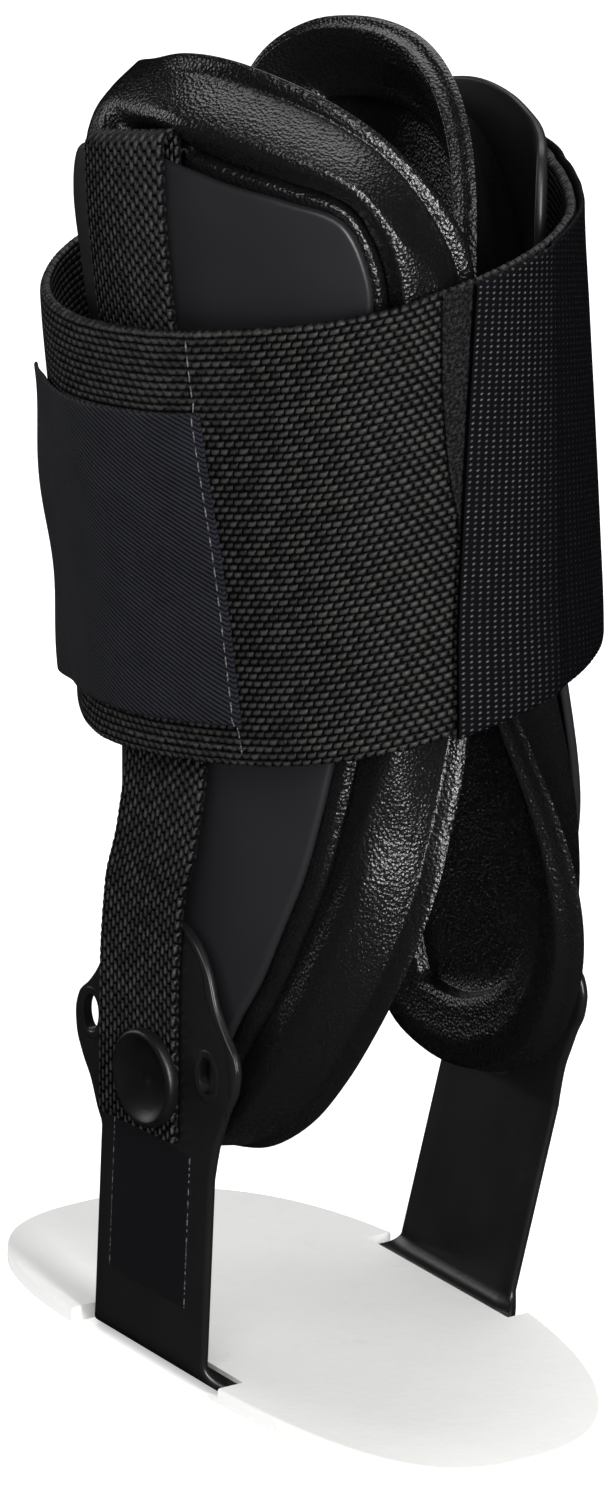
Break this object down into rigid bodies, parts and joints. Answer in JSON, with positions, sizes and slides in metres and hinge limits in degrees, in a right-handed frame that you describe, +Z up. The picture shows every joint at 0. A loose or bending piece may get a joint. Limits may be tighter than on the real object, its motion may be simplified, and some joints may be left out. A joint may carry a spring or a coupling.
{
  "type": "stirrup ankle brace",
  "caption": "Stirrup ankle brace: white foam foot pad, black U-shaped stirrup, hinged side shells with moulded pads, narrow webbing and a wide wrap-round calf strap.",
  "frame": {"origin": "on the floor under the middle of the hinge axis, on the underside of the stirrup's base", "axes": "+X points to the toe, +Y to the inner side of the leg, +Z up; the hinge axis runs along Y"},
  "size_m": [0.1518, 0.1078, 0.2688],
  "materials": {
    "stirrup_plastic": "black moulded plastic with a soft gloss",
    "shell_plastic": "charcoal satin plastic",
    "foam": "moulded closed-cell foam with a fine pebbled skin",
    "sole_foam": "white foam, matt, lightly scuffed",
    "weave": "black woven webbing",
    "hook_tape": "knitted hook tape with rows of light dots",
    "loop_pile": "brushed loop pile",
    "satin": "blue-black satin twill, no lettering",
    "rivet_plastic": "dished black cap",
    "sticker": "plain dark film, no lettering"
  },
  "bodies": {
    "footplate": {"stirrup": "stirrup_plastic", "foot_pad": "sole_foam", "arm_sticker": "sticker"},
    "cuff": {"lateral_shell": "shell_plastic", "medial_shell": "shell_plastic", "lateral_pad": "foam", "medial_pad": "foam", "lateral_webbing": "weave", "medial_webbing": "weave", "lateral_rivet": "rivet_plastic", "medial_rivet": "rivet_plastic", "calf_strap": "weave", "closure_tab": "hook_tape", "closure_lining": "loop_pile", "woven_label": "satin"}
  },
  "joints": [
    {"name": "ankle_hinge", "type": "hinge", "parent": "footplate", "child": "cuff", "pos_m": [0, 0, 0.062], "axis": [0, 1, 0], "range_deg": [-45, 30]}
  ]
}
